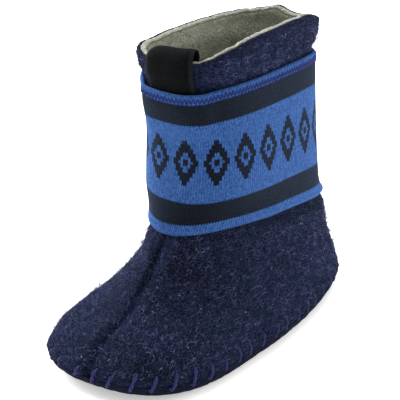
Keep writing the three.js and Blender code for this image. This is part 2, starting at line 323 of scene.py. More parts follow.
def rimAngle(arc):
    # angle at this length along the rim
    return np.interp(np.mod(arc, rimLengths[-1]), rimLengths, rimAngles)


def evenAngles(count, shares):
    # angles at even steps of the mean length around, with one exactly on each seam
    halves = []
    for start, end in ((0, math.pi), (math.pi, turn)):
        fine = np.linspace(start, end, 1201)
        steps = 0
        for share in shares:
            length = stepLengths(skin(share, fine))
            steps = steps + length / length.sum()
        total = runningTotal(steps)
        halves.append(np.interp(np.linspace(0, total[-1], count // 2 + 1)[:-1], total, fine))
    return np.concatenate(halves)


def evenShares(count):
    # shares at even steps of the mean length up the front, sides and back
    fine = np.linspace(0.0, 1.0, 801)
    steps = 0
    for angle in (0.0, 0.8, math.pi / 2, math.pi, 1.5 * math.pi, turn - 0.8):
        steps = steps + stepLengths(skin(fine, angle))
    total = runningTotal(steps)
    return np.interp(np.linspace(0, total[-1], count), total, fine)


# Mesh tools

def makeMesh(name, points, faces, cornerPlace=None, paintedShade=None):
    # points are in millimetres, and the mesh is in metres
    mesh = bpy.data.meshes.new(name)
    mesh.from_pydata((np.asarray(points).reshape(-1, 3) * mm).tolist(), [], faces)
    mesh.polygons.foreach_set("use_smooth", [True] * len(mesh.polygons))
    if cornerPlace is not None:
        layer = mesh.uv_layers.new(name="weave")
        layer.data.foreach_set("uv", np.asarray(cornerPlace, dtype=np.float32).ravel())
    # a value per point with the painted shade along the seams, read by the felt's material
    if paintedShade is not None:
        seam = mesh.attributes.new("seamPaintedShade", "FLOAT", "POINT")
        seam.data.foreach_set("value", np.asarray(paintedShade, dtype=np.float32).ravel())
    mesh.update()
    piece = bpy.data.objects.new(name, mesh)
    bpy.context.scene.collection.objects.link(piece)
    return piece


def loopFaces(rows, count, joined):
    # quads between each loop of points and the next, and from the last to the first if joined
    row = np.arange(rows if joined else rows - 1)[:, None]
    column = np.arange(count)[None, :]
    after = (row + 1) % rows
    beside = (column + 1) % count
    corners = [row * count + column, row * count + beside, after * count + beside, after * count + column]
    return np.stack(corners, axis=-1).reshape(-1, 4)


def fanFaces(rows, count):
    # triangles from the point after all loops to the first loop, and from the next point to the last loop
    j = np.arange(count)
    k = (j + 1) % count
    last = (rows - 1) * count
    start = np.stack([np.full(count, rows * count), k, j], axis=-1)
    end = np.stack([np.full(count, rows * count + 1), last + j, last + k], axis=-1)
    return np.concatenate([start, end])


def loopPlaces(rowPlace, columnPlace):
    # the two pattern coordinates at each corner of the quads of loopFaces
    low, high = rowPlace[:-1, None], rowPlace[1:, None]
    left, right = columnPlace[None, :-1], columnPlace[None, 1:]
    shape = (len(rowPlace) - 1, len(columnPlace) - 1)
    corners = [(left, low), (right, low), (right, high), (left, high)]
    flat = [np.stack([np.broadcast_to(u, shape), np.broadcast_to(v, shape)], axis=-1) for u, v in corners]
    return np.stack(flat, axis=2).reshape(-1, 2)


def ringPiece(name, loops, rowPlace=None, columnPlace=None, paintedShade=None):
    # closed wall: loops joined one to the next and the last to the first
    loops = np.asarray(loops)
    rows, count = loops.shape[:2]
    faces = loopFaces(rows, count, True)
    places = None
    if rowPlace is not None:
        places = loopPlaces(np.append(rowPlace, rowPlace[0]), columnPlace)
    return makeMesh(name, loops, faces.tolist(), places, paintedShade)


def cappedPiece(name, first, loops, last):
    # closed body: loops with one point before them and one after
    loops = np.asarray(loops)
    rows, count = loops.shape[:2]
    faces = loopFaces(rows, count, False).tolist() + fanFaces(rows, count).tolist()
    points = np.concatenate([loops.reshape(-1, 3), [first], [last]])
    return makeMesh(name, points, faces)


def threadPiece(name, paths, radius, sides, facing, taper=0.35):
    # tubes along many paths at once: a circle across each path's direction, drawn in to a tip at both ends
    paths = np.asarray(paths, float)
    count, steps = paths.shape[:2]
    direction = unit(np.gradient(paths, axis=1))
    sideways = unit(np.cross(direction, np.broadcast_to(facing, paths.shape)))
    upward = np.cross(sideways, direction)
    width = np.ones(steps)
    width[0] = width[-1] = taper
    radius = np.broadcast_to(np.asarray(radius, float).reshape(-1, 1), (count, 1)) * width[None, :]
    around = np.arange(sides) * turn / sides
    ring = (sideways[:, :, None, :] * np.cos(around)[None, None, :, None]
            + upward[:, :, None, :] * np.sin(around)[None, None, :, None])
    tubes = paths[:, :, None, :] + ring * radius[:, :, None, None]
    firstTip = paths[:, 0] - direction[:, 0] * radius[:, :1]
    lastTip = paths[:, -1] + direction[:, -1] * radius[:, -1:]
    points = np.concatenate([tubes.reshape(count, -1, 3), firstTip[:, None], lastTip[:, None]], axis=1)
    shift = (np.arange(count) * points.shape[1])[:, None, None]
    quads = (loopFaces(steps, sides, False) + shift).reshape(-1, 4)
    fans = (fanFaces(steps, sides) + shift).reshape(-1, 3)
    return makeMesh(name, points, quads.tolist() + fans.tolist())


def finishPiece(piece, material, node=None):
    piece.data.materials.append(material)
    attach(piece, "root")
    if node:
        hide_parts(node)


# Material tools

def newMaterial(name, roughness, sheen, sheenTint, specular):
    material = bpy.data.materials.new(name)
    material.use_nodes = True
    tree = material.node_tree
    shader = tree.nodes["Principled BSDF"]
    shader.inputs["Roughness"].default_value = roughness
    shader.inputs["Specular IOR Level"].default_value = specular
    shader.inputs["Sheen Weight"].default_value = sheen
    shader.inputs["Sheen Roughness"].default_value = 0.5
    shader.inputs["Sheen Tint"].default_value = (*sheenTint, 1)
    return material, tree, shader


def objectPlace(tree, scale=(1, 1, 1), rotation=(0, 0, 0)):
    # object coordinates, turned and stretched
    source = tree.nodes.new("ShaderNodeTexCoord")
    mapping = tree.nodes.new("ShaderNodeMapping")
    mapping.inputs["Scale"].default_value = scale
    mapping.inputs["Rotation"].default_value = [math.radians(a) for a in rotation]
    tree.links.new(source.outputs["Object"], mapping.inputs["Vector"])
    return mapping.outputs[0]


def patternPlace(tree):
    # the piece's own two pattern coordinates
    source = tree.nodes.new("ShaderNodeTexCoord")
    split = tree.nodes.new("ShaderNodeSeparateXYZ")
    tree.links.new(source.outputs["UV"], split.inputs[0])
    return split.outputs[0], split.outputs[1]


def noise(tree, where, scale, detail, roughness, distortion=0.0):
    node = tree.nodes.new("ShaderNodeTexNoise")
    tree.links.new(where, node.inputs["Vector"])
    node.inputs["Scale"].default_value = scale
    node.inputs["Detail"].default_value = detail
    node.inputs["Roughness"].default_value = roughness
    node.inputs["Distortion"].default_value = distortion
    return node.outputs["Fac"]


def ramp(tree, factor, *stops):
    node = tree.nodes.new("ShaderNodeValToRGB")
    tree.links.new(factor, node.inputs[0])
    while len(node.color_ramp.elements) < len(stops):
        node.color_ramp.elements.new(0.5)
    for element, (at, colour) in zip(node.color_ramp.elements, stops):
        element.position = at
        element.color = (*colour, 1) if isinstance(colour, tuple) else (colour, colour, colour, 1)
    return node.outputs[0]


def blend(tree, factor, first, second):
    node = tree.nodes.new("ShaderNodeMix")
    node.data_type = "RGBA"
    for socket, value in ((node.inputs[0], factor), (node.inputs[6], first), (node.inputs[7], second)):
        if isinstance(value, bpy.types.NodeSocket):
            tree.links.new(value, socket)
        elif isinstance(value, tuple):
            socket.default_value = (*value, 1)
        else:
            socket.default_value = value
    return node.outputs[2]


def sums(tree, kind, first, second=None):
    node = tree.nodes.new("ShaderNodeMath")
    node.operation = kind
    for socket, value in zip(node.inputs, (first, second)):
        if isinstance(value, bpy.types.NodeSocket):
            tree.links.new(value, socket)
        elif value is not None:
            socket.default_value = value
    return node.outputs[0]


def times(tree, first, second):
    return sums(tree, "MULTIPLY", first, second)


def plus(tree, first, second):
    return sums(tree, "ADD", first, second)


def bumpUp(tree, shader, height, strength, distance):
    node = tree.nodes.new("ShaderNodeBump")
    node.inputs["Strength"].default_value = strength
    node.inputs["Distance"].default_value = distance
    tree.links.new(height, node.inputs["Height"])
    tree.links.new(node.outputs[0], shader.inputs["Normal"])


def streaks(tree, look, turned, low, high):
    # thin wool fibres of one direction: noise stretched along it, and only its crests
    here = objectPlace(tree, (look["fibreFine"], look["fibreLong"], look["fibreFine"]), turned)
    crest = noise(tree, here, 1.0, 1.0, 0.5, look["fibreBend"])
    return ramp(tree, crest, (low, 0.0), (high, 1.0))


def feltMaterial(name, look):
    # dark ground with clumps of wool whose hue changes in patches, crossed by fibres of several directions,
    # and painted shade that darkens the seam valleys where the piece carries it
    material, tree, shader = newMaterial(
        name, look["roughness"], look["sheen"], look["sheenTint"], look["specular"],
    )
    shader.inputs["Sheen Roughness"].default_value = look["sheenRoughness"]
    here = objectPlace(tree)
    patch = ramp(tree, noise(tree, here, look["patchScale"], 2.0, 0.6), (0.42, 0.0), (0.60, 1.0))
    cloud = ramp(tree, noise(tree, here, look["cloudScale"], 3.0, 0.65), (0.36, 0.0), (0.64, 1.0))
    grain = ramp(tree, noise(tree, here, look["grainScale"], 3.0, 0.75), (0.44, 0.0), (0.66, 1.0))
    colour = blend(tree, cloud, look["deep"], look["ground"])
    clump = blend(tree, patch, look["second"], look["third"])
    colour = blend(tree, grain, colour, clump)
    relief = grain
    thickness = plus(tree, times(tree, cloud, look["fibreStrength"]), look["fibreBase"])
    for turned, tone, low, high in look["fibres"]:
        fibre = streaks(tree, look, turned, low, high)
        colour = blend(tree, times(tree, fibre, thickness), colour, tone)
        relief = plus(tree, relief, times(tree, fibre, look["fibreRelief"]))
    speck = ramp(tree, noise(tree, here, look["speckScale"], 1.0, 0.4, 1.5), (0.76, 0.0), (0.82, 1.0))
    colour = blend(tree, times(tree, speck, look["speckStrength"]), colour, look["speck"])
    # painted shade: the seam valleys blended towards the deep tone by the per-point value
    seam = tree.nodes.new("ShaderNodeAttribute")
    seam.attribute_name = "seamPaintedShade"
    colour = blend(tree, times(tree, seam.outputs["Fac"], look["seamPaintedShadeStrength"]), colour, look["deep"])
    tree.links.new(colour, shader.inputs["Base Color"])
    bumpUp(tree, shader, relief, look["bump"], look["bumpDistance"])
    return material


upperLook = {
    "deep": (0.0012, 0.0014, 0.0022),
    "ground": (0.0040, 0.0046, 0.0090),
    "second": (0.0120, 0.0105, 0.0180),
    "third": (0.0060, 0.0130, 0.0160),
    "patchScale": 120.0,
    "cloudScale": 330.0,
    "grainScale": 1300.0,
    "speckScale": 420.0,
    "fibreFine": 2100.0,
    "fibreLong": 560.0,
    "fibreBend": 0.9,
    "fibreRelief": 0.6,
    "fibreStrength": 0.6,
    "fibreBase": 0.35,
    "fibres": [
        ((0, 0, 20), (0.038, 0.040, 0.082), 0.58, 0.67),
        ((35, 60, 0), (0.026, 0.023, 0.052), 0.58, 0.69),
        ((70, 15, 50), (0.080, 0.086, 0.120), 0.63, 0.73),
        ((20, 80, 110), (0.018, 0.046, 0.056), 0.64, 0.75),
        ((85, 40, 10), (0.250, 0.255, 0.330), 0.69, 0.79),
    ],
    "speck": (0.16, 0.17, 0.27),
    "speckStrength": 0.8,
    "roughness": 0.95,
    "specular": 0.05,
    # how strongly the painted shade darkens the seam valleys
    "seamPaintedShadeStrength": 0.75,
    "sheen": 0.17,
    "sheenRoughness": 0.2,
    "sheenTint": (0.15, 0.28, 0.95),
    "bump": 1.0,
    "bumpDistance": 0.0009,
}
soleLook = dict(
    upperLook, deep=(0.0015, 0.0018, 0.0025), ground=(0.004, 0.0045, 0.006), second=(0.009, 0.010, 0.015),
    third=(0.008, 0.011, 0.014), fibreStrength=0.2, fibreBase=0.1, speck=(0.04, 0.04, 0.06), sheen=0.08,
)
liningLook = dict(
    upperLook, deep=(0.185, 0.198, 0.146), ground=(0.290, 0.312, 0.240), second=(0.400, 0.424, 0.338),
    third=(0.365, 0.378, 0.290), sheen=0.1, sheenTint=(0.9, 0.88, 0.8), speck=(0.55, 0.54, 0.45),
    fibres=[
        ((0, 0, 20), (0.520, 0.525, 0.430), 0.56, 0.70),
        ((35, 60, 0), (0.090, 0.088, 0.060), 0.60, 0.72),
        ((70, 15, 50), (0.620, 0.620, 0.520), 0.64, 0.74),
    ],
)
# cream top of the collar's cut edge: partly the wool's own lighter edge, partly a painted highlight where
# light falls on that top face
creamHighlightLook = dict(
    liningLook, deep=(0.380, 0.370, 0.300), ground=(0.500, 0.490, 0.410), second=(0.600, 0.590, 0.510),
    third=(0.560, 0.550, 0.470),
    fibres=[
        ((0, 0, 20), (0.800, 0.790, 0.720), 0.54, 0.70),
        ((35, 60, 0), (0.300, 0.290, 0.230), 0.62, 0.74),
    ],
)


# Upper: navy felt outside, wool lining inside

whip = {
    "spacing": 7.6, "phase": 1.9, "rise": 4.4, "slant": 3.0, "dimple": 0.7, "scallop": 0.45, "radius": 0.66,
    "under": 0.15, "wander": 0.9, "sink": 0.80, "sinkStart": 48.0, "sinkEnd": 78.0, "innerSink": 0.75,
    "plyOffset": 0.5, "plyRadius": 0.62, "plyTwists": 2.2, "sides": 7,
}
stitchCount = int(round(rimLengths[-1] / whip["spacing"]))
stitchSpacing = rimLengths[-1] / stitchCount
stitchRandom = np.random.default_rng(17)
stitchAt = (whip["phase"] + np.arange(stitchCount) * stitchSpacing
            + whip["wander"] * stitchRandom.uniform(-1, 1, stitchCount))
stitchSlant = whip["slant"] * stitchRandom.uniform(0.5, 1.5, stitchCount)
stitchRise = whip["rise"] * stitchRandom.uniform(0.75, 1.2, stitchCount)


def fromStitch(angle):
    # distance along the rim to the nearest stitch, signed, and that stitch's number
    arc = rimArc(angle)
    nearest = np.floor((arc - whip["phase"]) / stitchSpacing + 0.5).astype(int) % stitchCount
    away = arc - stitchAt[nearest]
    return (away + rimLengths[-1] / 2) % rimLengths[-1] - rimLengths[-1] / 2, nearest


# columns: share, angle in degrees, length up, length around, tilt in degrees, depth
# lengths and depths are in millimetres, and the depth of a ridge is negative
creases = np.array([
    (0.40, 62.0, 3.0, 16.0, 8.0, 0.8),
    (0.33, 95.0, 4.0, 18.0, -12.0, 0.5),
    (0.36, 30.0, 4.0, 12.0, 20.0, -0.5),
    (0.21, 40.0, 9.0, 10.0, 0.0, 0.9),
    (0.16, 325.0, 8.0, 10.0, 0.0, 0.7),
    (0.10, 18.0, 5.0, 8.0, 0.0, -0.6),
    (0.40, 300.0, 3.0, 16.0, -8.0, 0.7),
    (0.38, 160.0, 3.0, 14.0, 5.0, 0.6),
    (0.16, 120.0, 8.0, 16.0, 0.0, 0.5),
    (0.95, 120.0, 7.0, 12.0, 10.0, 0.7),
    (0.97, 60.0, 6.0, 10.0, -10.0, -0.5),
])
# one entry gives the width of the painted shade along the seams
felt = {
    "seamDepth": 1.3, "seamHalfWidth": 3.0, "seamLip": 0.3, "seamPaintedShadeWidth": 2.3, "lump": 0.45, "fuzz": 0.25,
    "layer": 1.5, "backing": 0.06, "bottomGap": 0.1, "liningFuzz": 0.16, "collarBlend": 0.1,
    "columns": 380, "rows": 214, "hiddenRows": 14, "liningColumns": 260, "liningRows": 104,
}


def feltRelief(share, angle, points):
    # height over the plain surface: seam valleys with raised lips, creases, lumps, fuzz,
    # and the pull of the stitches
    fromSeam = np.abs(across(share, angle))
    half = felt["seamHalfWidth"]
    height = -felt["seamDepth"] * bell(fromSeam, 0.5 * half)
    height += felt["seamLip"] * bell(fromSeam - 1.4 * half, 0.7 * half)
    for shareAt, degrees, up, around, tilt, depth in creases:
        turned = math.radians(degrees)
        dz = (share - shareAt) * boot["collarFront"]
        da = ((angle - turned + math.pi) % turn - math.pi) * 30.0
        c, s = math.cos(math.radians(tilt)), math.sin(math.radians(tilt))
        height -= depth * np.exp(-((dz * c - da * s) / up) ** 2 - ((dz * s + da * c) / around) ** 2)
    height += felt["lump"] * woolNoise(points, 13.0, 11) + 0.2 * woolNoise(points, 5.5, 12)
    height += felt["fuzz"] * (woolNoise(points, 1.9, 13) + 0.7 * woolNoise(points, 1.1, 14))
    above = share * (boot["collarFront"] - ridgeHeight)
    away, nearest = fromStitch(angle)
    height -= whip["scallop"] * bell(away, 1.6) * bell(above, 3.0)
    hole = away - stitchSlant[nearest] / 2
    height -= whip["dimple"] * np.exp(-(hole / 1.3) ** 2 - ((above - stitchRise[nearest]) / 1.3) ** 2)
    height += 0.5 * bell(above - 2.2, 1.8)
    return height


def feltSurface(share, angle):
    # the drawn-in surface with its relief along the normal, and that normal; both edges keep their height
    share, angle = np.broadcast_arrays(np.asarray(share, float), np.asarray(angle, float))
    points = levelOffset(share, angle, 0.0)
    normal = skinNormal(share, angle)
    push = normal.copy()
    push[..., 2] *= smoothStep(share / 0.04) * smoothStep((1 - share) / 0.03)
    return points + push * feltRelief(share, angle, points)[..., None], normal


# columns: angle in degrees, half width in degrees, height in millimetres
collarPeaks = np.array([(197.0, 16.0, 1.1), (187.5, 7.0, 1.1), (179.5, 4.0, -0.5), (148.0, 18.0, -1.0)])


def collarWave(angle):
    # small unevenness of the cut edge, and the felt's corner that stands up beside the back seam
    circle = np.stack([np.cos(angle) * 30, np.sin(angle) * 30, np.zeros_like(angle)], axis=-1)
    wave = 0.35 * woolNoise(circle, 9.0, 21) + 0.25 * woolNoise(circle, 3.0, 22)
    for degrees, spread, height in collarPeaks:
        wave = wave + height * bell(np.degrees(np.mod(angle, turn)) - degrees, spread)
    return wave


def collarLift(share, angle):
    # the unevenness fades out a little below the edge
    blendFrom = 1 - felt["collarBlend"]
    return collarWave(angle) * smoothStep((share - blendFrom) / felt["collarBlend"])


def innerWall(share, angle, distance, seed, fuzz):
    # level offset inwards, with wool fuzz and the collar's unevenness
    points = levelOffset(share, angle, -distance)
    rough = fuzz * (woolNoise(points, 2.2, seed) + 0.6 * woolNoise(points, 1.2, seed + 1))
    inward = skinNormal(share, angle)
    points[..., :2] -= inward[..., :2] * rough[..., None]
    points[..., 2] += collarLift(share, angle)
    return points


def collarRow(angle, distance, lift):
    # a row of the cut edge, this far inwards and this much above the surface's own edge
    row = levelOffset(np.ones_like(angle), angle, -distance)
    row[..., 2] += collarWave(angle) + lift
    return row


feltColumns = felt["columns"]
feltLayer = felt["layer"]
feltAngles = evenAngles(feltColumns, (0.0, 0.1, 0.42, 1.0))
feltShares = evenShares(felt["rows"])
outer = feltSurface(feltShares[:, None], feltAngles[None, :])[0]
outer[..., 2] += collarLift(feltShares[:, None], feltAngles[None, :])
outer[..., 2] += felt["bottomGap"] * (1 - feltShares[:, None])
hidden = evenShares(felt["hiddenRows"])[::-1]
cutRows = ((0.05, -0.25), (0.35, 0.05), (1.0, 0.12), (feltLayer, 0.0))
feltLoops = [
    *outer[:-1],
    *[collarRow(feltAngles, inward, lift) for inward, lift in cutRows],
    *[innerWall(np.full(feltColumns, s), feltAngles, feltLayer, 31, 0.0) for s in hidden[1:]],
]
# painted shade along the seams: full on them, fading with the distance from them
fromSeams = np.abs(across(feltShares[:, None], feltAngles[None, :]))
seamPaintedShade = np.zeros((len(feltLoops), feltColumns))
seamPaintedShade[:len(feltShares)] = bell(fromSeams, felt["seamPaintedShadeWidth"])
feltUpper = ringPiece("feltUpper", feltLoops, paintedShade=seamPaintedShade)
finishPiece(feltUpper, feltMaterial("navyFelt", upperLook), "upper")
print("upper felt:", len(feltUpper.data.polygons), "quads")

liningColumns = felt["liningColumns"]
liningAngles = evenAngles(liningColumns, (0.1, 0.42, 1.0))
wall = boot["wall"]
liningRows = evenShares(felt["liningRows"])[::-1]
backing = feltLayer + felt["backing"]
# the cut edge's top face in cream: partly the wool's own colour, partly a painted highlight
creamHighlightRows = ((backing, 0.0), (1.8, 0.2), (2.3, 0.32), (2.9, 0.25), (3.3, 0.0))
creamHighlightEdge = [collarRow(liningAngles, inward, lift) for inward, lift in creamHighlightRows]
creamHighlightEdge = [row + np.array([0, 0, 0.3]) * woolNoise(row, 1.6, 41)[:, None] for row in creamHighlightEdge]
creamHighlightBody = ringPiece("creamHighlightEdge", [
    *creamHighlightEdge,
    collarRow(liningAngles, 3.42, -0.3),
    collarRow(liningAngles, 3.38, -0.6),
    collarRow(liningAngles, backing, -0.6),
])
finishPiece(creamHighlightBody, feltMaterial("creamHighlightWool", creamHighlightLook))
liningLoops = [
    *[innerWall(np.full(liningColumns, s), liningAngles, backing, 31, 0.0) for s in hidden[::-1][:-1]],
    collarRow(liningAngles, backing, -0.66),
    collarRow(liningAngles, wall - 0.05, -0.66),
    *[innerWall(np.full(liningColumns, s), liningAngles, wall, 51, felt["liningFuzz"])
      for s in liningRows[2:]],
]
woolLining = ringPiece("woolLining", liningLoops)
finishPiece(woolLining, feltMaterial("liningWool", liningLook))
print("lining done")


# Sole and insole

soleMesh = {
    "columns": 400, "edgeRows": 26, "fuzz": 0.12, "flats": (0.82, 0.7, 0.5, 0.3, 0.12),
    "insoleColumns": 240, "insoleRows": 60, "insoleShare": 0.84,
}
soleAngles = evenAngles(soleMesh["columns"], (0.0,))
# the profile's rows stand at even places and are joined by smooth curves
profilePlan, profileRise, profileIn, profileUp = (
    curveThrough(np.linspace(0, 1, len(soleProfile)), column) for column in soleProfile.T
)


def outlinePoint(plan, angle):
    # the ridge's outline, drawn in to this share of it around the middle of the foot
    rim = rawSkin(0.0, angle)
    middleY = -boot["waistForward"]
    x = rim[..., 0] * plan
    y = middleY + (rim[..., 1] - middleY) * plan
    return np.stack([x, y, np.zeros_like(x)], axis=-1)


def inwardAt(angle):
    # level direction square to the rim, a quarter turn from its direction
    along = rawSkin(0.0, angle + 0.01) - rawSkin(0.0, angle - 0.01)
    return unit(np.stack([-along[..., 1], along[..., 0], np.zeros_like(along[..., 0])], axis=-1))


def solePull(angle, place):
    # how far the whip stitches draw the edge in, most at the ridge
    return whip["scallop"] * bell(fromStitch(angle)[0], 1.6) * (1 - place)


def soleUnderside(place, angle):
    # place runs from 0 at the ridge to 1 where the sole meets the floor
    place, angle = np.broadcast_arrays(np.asarray(place, float), np.asarray(angle, float))
    points = outlinePoint(profilePlan(place), angle)
    points += inwardAt(angle) * solePull(angle, place)[..., None]
    points[..., 2] = (ridgeHeight - 0.1) * profileRise(place) + toeLift(points[..., 1])
    return points


def soleInside(place, angle):
    # the underside moved through the sheet by its thickness
    place, angle = np.broadcast_arrays(np.asarray(place, float), np.asarray(angle, float))
    points = soleUnderside(place, angle)
    thick = boot["soleThickness"]
    points += inwardAt(angle) * (thick * profileIn(place))[..., None]
    points[..., 2] += thick * profileUp(place)
    return points


def flatLoop(plan, angle, level):
    # a level loop of the drawn-in outline, lifted with the toe
    points = outlinePoint(plan, angle)
    points[..., 2] = level + toeLift(points[..., 1])
    return points


def addFuzz(points, amount, seed):
    # each point moved along all three axes by noise
    return points + amount * np.stack([woolNoise(points, 1.7, seed + i) for i in range(3)], axis=-1)


edgePlaces = np.linspace(0, 1, soleMesh["edgeRows"])
underLoops = soleUnderside(edgePlaces[:, None], soleAngles[None, :])
underLoops[:-2] = addFuzz(underLoops[:-2], soleMesh["fuzz"], 61)
insideLoops = soleInside(edgePlaces[::2, None], soleAngles[None, :])
flats = soleMesh["flats"]
middle = np.array([0.0, -boot["waistForward"], 0.0])
soleLoops = np.concatenate([
    [flatLoop(f, soleAngles, 0.0) for f in flats[::-1]],
    underLoops[::-1],
    insideLoops,
    [flatLoop(f, soleAngles, boot["soleThickness"]) for f in flats],
]) - placeShift
soleTop = middle + np.array([0, 0, boot["soleThickness"]])
feltSole = cappedPiece("feltSole", middle - placeShift, soleLoops, soleTop - placeShift)
finishPiece(feltSole, feltMaterial("darkFelt", soleLook), "sole")

insoleBottom = boot["soleThickness"] + 0.3
insoleTop = insoleBottom + boot["insoleThickness"]
insoleAngles = evenAngles(soleMesh["insoleColumns"], (0.0,))


def insoleLoop(plan, level):
    # a loop of the insole, a little inside the sole's outline and lumpy on its upper side
    points = flatLoop(plan, insoleAngles, level)
    points += inwardAt(insoleAngles) * 0.5 * plan
    lumps = 0.12 * woolNoise(points, 4.0, 71) + 0.06 * woolNoise(points, 1.5, 72)
    points[..., 2] += lumps * (level > insoleBottom + 1)
    return points


plans = np.linspace(soleMesh["insoleShare"], 0.04, soleMesh["insoleRows"])
insoleLoops = np.concatenate([
    [insoleLoop(p, insoleBottom) for p in (0.04, 0.3, 0.6, 0.84)],
    [insoleLoop(0.855, insoleBottom + 0.5)],
    [insoleLoop(0.86, insoleTop - 0.7)],
    [insoleLoop(0.855, insoleTop - 0.25)],
    [insoleLoop(p, insoleTop) for p in plans],
]) - placeShift
insoleEnds = [middle - placeShift + np.array([0, 0, level]) for level in (insoleBottom, insoleTop)]
feltInsole = cappedPiece("feltInsole", insoleEnds[0], insoleLoops, insoleEnds[1])
finishPiece(feltInsole, feltMaterial("insoleWool", liningLook), "insole")
print("sole and insole done")


# Whip stitches around the sole

def whipPaths():
    # each thread leaves the felt above the ridge, crosses it at a slant and dives into the sole's underside;
    # beyond the toe's outer side and along the inner side it is drawn deep into the felt
    t = np.linspace(0, 1, 17)
    shaftRise = boot["collarFront"] - ridgeHeight
    angle = rimAngle(stitchAt[:, None] + stitchSlant[:, None] * (0.5 - t))
    upperPart = np.clip(1 - t / 0.5, 0, 1)
    share = upperPart * stitchRise[:, None] / shaftRise
    solePlace = np.clip((t - 0.5) / 0.5, 0, 1) * whip["under"]
    overUpper, upperNormal = feltSurface(share, angle)
    overSole = soleUnderside(solePlace[None, :], angle) - placeShift
    outward = -inwardAt(angle)
    downward = outward * 0.8 + np.array([0, 0, -0.6])
    weight = smoothStep((t - 0.42) / 0.16)[None, :, None]
    normal = unit(upperNormal * (1 - weight) + downward * weight)
    points = overUpper * (1 - weight) + overSole * weight
    degrees = np.degrees(rimAngle(stitchAt))
    past = (degrees - whip["sinkStart"]) / (whip["sinkEnd"] - whip["sinkStart"])
    sink = whip["sink"] * smoothStep(past)
    sink += (degrees > 180) * (whip["innerSink"] - whip["sink"])
    lift = whip["radius"] * (1.25 - 2.6 * np.abs(2 * t[None, :] - 1) ** 5) - sink[:, None]
    return points + normal * lift[..., None], normal


def plyPaths(paths, normal, radius, twists):
    # two strands wound around one thread's path
    direction = unit(np.gradient(paths, axis=1))
    side = unit(np.cross(direction, normal))
    turned = np.linspace(0, turn * twists, paths.shape[1])[None, :, None]
    strands = [
        paths + radius * (side * np.cos(turned + shift) + normal * np.sin(turned + shift))
        for shift in (0, math.pi)
    ]
    return np.concatenate(strands), np.concatenate([normal, normal])


def threadMaterial(name, dark, light):
    material, tree, shader = newMaterial(name, 0.7, 0.1, light, 0.2)
    grain = noise(tree, objectPlace(tree), 1800.0, 2.0, 0.6)
    tone = blend(tree, ramp(tree, grain, (0.35, 0.0), (0.7, 1.0)), dark, light)
    tree.links.new(tone, shader.inputs["Base Color"])
    bumpUp(tree, shader, grain, 0.5, 0.0002)
    return material


blueThread = threadMaterial("blueThread", (0.009, 0.009, 0.050), (0.023, 0.024, 0.120))
paths, facing = whipPaths()
plyOffset = whip["radius"] * whip["plyOffset"]
plyRadius = whip["radius"] * whip["plyRadius"]
plies, plyFacing = plyPaths(paths, facing, plyOffset, whip["plyTwists"])
whipStitches = threadPiece("whipStitches", plies, plyRadius, whip["sides"], plyFacing)
finishPiece(whipStitches, blueThread)
print("whip stitches:", stitchCount)


# Elastic band

def shareAtLevel(level, angle):
    # the share at which the surface reaches this level
    low = skin(0.0, angle)[..., 2]
    top = skin(1.0, angle)[..., 2]
    return np.clip((level - low) / (top - low), 0, 1)


def bandSeat(share, angle, belowTop):
    # clearance to the felt, and over the pull loop's end the loop's thickness as well
    beside = np.abs(across(share, angle) - pull["shift"])
    past = (beside - pull["width"] / 2 - band["ease"] / 3) / band["ease"]
    lower = (belowTop - pull["tuck"] - band["ease"] / 3) / (2 * band["ease"])
    over = np.where(np.cos(angle) > 0, (1 - smoothStep(past)) * (1 - smoothStep(lower)), 0.0)
    return band["clearance"] + (pull["thickness"] + band["clearance"]) * over


def bandSurface(height, angle, outward):
    # height runs from 0 at the band's lower edge to 1 at its upper edge
    height, angle = np.broadcast_arrays(np.asarray(height, float), np.asarray(angle, float))
    level = bandLow(angle) + (bandHigh(angle) - bandLow(angle)) * height
    share = shareAtLevel(level, angle)
    seat = bandSeat(share, angle, bandHigh(angle) - level)
    outerBack = smoothStep((-np.cos(angle) - 0.1) / 0.5) * (np.sin(angle) > 0)
    flare = 0.7 * bell(height, 0.05) * outerBack
    return levelOffset(share, angle, seat + outward + flare), share


def atBothEdges(inset, spread):
    # bell curves at this share of the band's width from its lower and its upper edge
    return bell(bandHeights - inset, spread) + bell(1 - inset - bandHeights, spread)


def bandAngleAt(turned):
    # the angle at this share of the way around the band
    return np.interp(turned * bandColumns, np.arange(bandColumns + 1), np.append(bandAngles, turn))


waleCount = band["wales"]
bandColumns = waleCount * band["pointsPerWale"]
bandAngles = evenAngles(bandColumns, (0.5, 0.7, 0.88))
waleAt = np.arange(bandColumns) / band["pointsPerWale"]
bandHeights = np.linspace(0.0, 1.0, band["rows"])
ribs = band["rib"] * (np.abs(np.cos(math.pi * waleAt)) - 0.6)
bead = band["edgeBead"] * atBothEdges(0.02, 0.016)
roundOff = 0.5 * atBothEdges(0.0, 0.006)
face = bandSurface(bandHeights[:, None], bandAngles[None, :], band["thickness"])[0]
faceNormal = unit(np.cross(np.gradient(face, axis=1), np.gradient(face, axis=0)))
face += faceNormal * (ribs[None, :] + bead[:, None] - roundOff[:, None])[..., None]
backHeights = np.linspace(0.997, 0.003, 8)
backFace = bandSurface(backHeights[:, None], bandAngles[None, :], 0.05)[0]
bandLoops = np.concatenate([face, backFace])
bandRows = np.concatenate([bandHeights, backHeights])
knitBand = ringPiece("knitBand", bandLoops, bandRows, np.append(waleAt, waleCount) / waleCount)


knitLook = {
    "courses": 66.0, "slant": 1.3, "stripeInner": 0.286, "stripeOuter": 0.427,
    "motifWales": 12.0, "motifHalfWidth": 5.0, "motifHalfHeight": 11.0,
    "ringOuter": 1.08, "ringInner": 0.52, "core": 0.22,
    "darkBlue": (0.018, 0.060, 0.205), "lightBlue": (0.054, 0.142, 0.400),
    # the deeper blue of the painted shade in the grooves between wales, and how strongly it is laid on
    "paintedGrooveShade": (0.006, 0.026, 0.110), "paintedGrooveShadeStrength": 0.75,
    "darkBlack": (0.0020, 0.0024, 0.0036), "lightBlack": (0.0050, 0.0058, 0.0085),
    "bump": 0.9, "bumpDistance": 0.00045,
}


